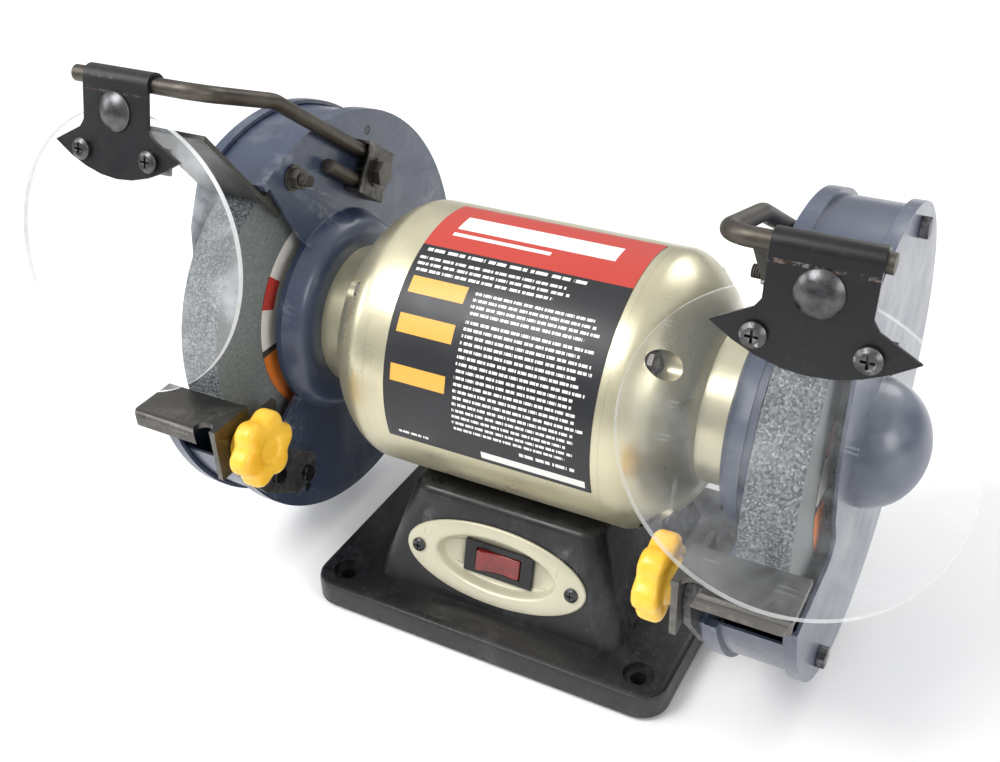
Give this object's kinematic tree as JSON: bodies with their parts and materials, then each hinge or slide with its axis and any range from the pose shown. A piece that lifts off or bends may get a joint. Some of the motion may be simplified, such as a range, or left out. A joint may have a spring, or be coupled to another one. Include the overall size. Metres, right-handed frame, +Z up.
{
  "type": "bench grinder",
  "caption": "Bench grinder: domed motor on a cast base, a guarded wheel at each end, clear eye shields on bent rods, tool rests with lobed knobs, rocker switch.",
  "frame": {"origin": "on the bench, in the middle of the four bench bolt holes", "axes": "+X along the shaft to the right wheel, -Y towards the operator, +Z up"},
  "size_m": [0.373, 0.2037, 0.2449],
  "materials": {
    "base_paint": "semi-gloss charcoal paint on a casting",
    "plate_steel": "plain sheet steel",
    "foot_rubber": "matt black rubber",
    "zinc_screw": "zinc plated",
    "bezel_paint": "satin champagne",
    "black_screw": "black oxide",
    "switch_plastic": "matt black",
    "rocker_red": "translucent red",
    "capacitor_can": "satin can",
    "motor_paint": "metallic champagne paint",
    "copper_winding": "enamelled wire",
    "motor_label": "printed film",
    "bearing_steel": "ground",
    "shaft_steel": "turned",
    "wheel_grit": "speckled abrasive grit",
    "bushing_plastic": "white",
    "wheel_paper": "paper disc",
    "guard_paint": "satin navy paint on steel sheet",
    "deflector_steel": "worn grey",
    "dark_bolt": "dark phosphate",
    "clamp_steel": "dark phosphate",
    "rod_steel": "dark brown oxide",
    "bracket_black": "gloss black with worn edges",
    "shield_clear": "clear, lightly scratched",
    "shield_screw": "black zinc",
    "support_black": "black",
    "rest_steel": "dark phosphate",
    "knob_yellow": "moulded",
    "stud_steel": "zinc plated"
  },
  "bodies": {
    "frame": {"base_housing": "base_paint", "base_bottom_plate": "plate_steel", "rubber_feet": "foot_rubber", "base_screws": "zinc_screw", "motor_mount_bolts": "zinc_screw", "switch_bezel": "bezel_paint", "bezel_screws": "black_screw", "switch_housing": "switch_plastic", "run_capacitor": "capacitor_can", "cord_inlet_bushing": "foot_rubber", "motor_shell": "motor_paint", "left_end_bell": "motor_paint", "right_end_bell": "motor_paint", "stator_core": "plate_steel", "stator_windings": "copper_winding", "motor_label": "motor_label", "through_bolts": "zinc_screw", "bearing_outer_rings": "bearing_steel", "left_guard": "guard_paint", "right_guard": "guard_paint", "left_guard_cover": "guard_paint", "right_guard_cover": "guard_paint", "guard_cover_screws": "black_screw", "guard_mount_screws": "zinc_screw", "deflector_bolts": "dark_bolt", "deflector_nuts": "dark_bolt", "shield_clamp_bolts": "dark_bolt", "rest_supports": "support_black", "rest_support_screws": "black_screw"},
    "spindle": {"arbor_shaft": "shaft_steel", "rotor_core": "shaft_steel", "bearing_inner_rings": "bearing_steel", "left_wheel": "wheel_grit", "right_wheel": "wheel_grit", "wheel_bushings": "bushing_plastic", "wheel_labels": "wheel_paper", "wheel_flanges": "shaft_steel", "arbor_nuts": "shaft_steel"},
    "ball_cages": {"bearing_ball_cages": "bearing_steel"},
    "rocker": {"switch_rocker": "rocker_red"},
    "left_shield_arm": {"left_shield_clamp": "clamp_steel", "left_shield_rod": "rod_steel"},
    "left_shield": {"left_shield_bracket": "bracket_black", "left_shield_lens": "shield_clear", "left_shield_backing": "bracket_black", "left_shield_fasteners": "shield_screw"},
    "left_rest": {"left_tool_rest": "rest_steel"},
    "left_knob": {"left_rest_knob": "knob_yellow", "left_knob_stud": "stud_steel"},
    "left_spark": {"left_spark_deflector": "deflector_steel"},
    "right_shield_arm": {"right_shield_clamp": "clamp_steel", "right_shield_rod": "rod_steel"},
    "right_shield": {"right_shield_bracket": "bracket_black", "right_shield_lens": "shield_clear", "right_shield_backing": "bracket_black", "right_shield_fasteners": "shield_screw"},
    "right_rest": {"right_tool_rest": "rest_steel"},
    "right_knob": {"right_rest_knob": "knob_yellow", "right_knob_stud": "stud_steel"},
    "right_spark": {"right_spark_deflector": "deflector_steel"}
  },
  "joints": [
    {"name": "spindle_spin", "type": "hinge", "parent": "frame", "child": "spindle", "pos_m": [0, 0, 0.114], "axis": [1, 0, 0], "continuous": true},
    {"name": "cage_spin", "type": "hinge", "parent": "frame", "child": "ball_cages", "pos_m": [0, 0, 0.114], "axis": [1, 0, 0], "continuous": true},
    {"name": "switch_rock", "type": "hinge", "parent": "frame", "child": "rocker", "pos_m": [0, -0.04381, 0.03421], "axis": [0, 0.28, 0.96], "range_deg": [-14, 0]},
    {"name": "left_arm_swing", "type": "hinge", "parent": "frame", "child": "left_shield_arm", "pos_m": [0, 0.0265, 0.172], "axis": [1, 0, 0], "range_deg": [-28, 2]},
    {"name": "left_shield_tilt", "type": "hinge", "parent": "left_shield_arm", "child": "left_shield", "pos_m": [0, -0.0706, 0.24015], "axis": [1, 0, 0], "range_deg": [-60, 4]},
    {"name": "left_rest_slide", "type": "slide", "parent": "frame", "child": "left_rest", "axis": [0, 1, 0], "range_m": [-0.0135, 0.001]},
    {"name": "left_knob_turn", "type": "hinge", "parent": "frame", "child": "left_knob", "pos_m": [0, -0.084, 0.095], "axis": [1, 0, 0], "range_deg": [-180, 180]},
    {"name": "left_spark_slide", "type": "slide", "parent": "frame", "child": "left_spark", "axis": [0, -0.6018, 0.7986], "range_m": [-0.0015, 0.002]},
    {"name": "right_arm_swing", "type": "hinge", "parent": "frame", "child": "right_shield_arm", "pos_m": [0, 0.0265, 0.172], "axis": [1, 0, 0], "range_deg": [-28, 0]},
    {"name": "right_shield_tilt", "type": "hinge", "parent": "right_shield_arm", "child": "right_shield", "pos_m": [0, -0.07779, 0.22854], "axis": [1, 0, 0], "range_deg": [-75, 0]},
    {"name": "right_rest_slide", "type": "slide", "parent": "frame", "child": "right_rest", "axis": [0, 1, 0], "range_m": [-0.0135, 0.001]},
    {"name": "right_knob_turn", "type": "hinge", "parent": "frame", "child": "right_knob", "pos_m": [0, -0.084, 0.095], "axis": [1, 0, 0], "range_deg": [-180, 180]},
    {"name": "right_spark_slide", "type": "slide", "parent": "frame", "child": "right_spark", "axis": [0, -0.6018, 0.7986], "range_m": [-0.0015, 0.002]}
  ],
  "couplings": [
    {"joint": "cage_spin", "follows": "spindle_spin", "ratio": 0.4}
  ]
}
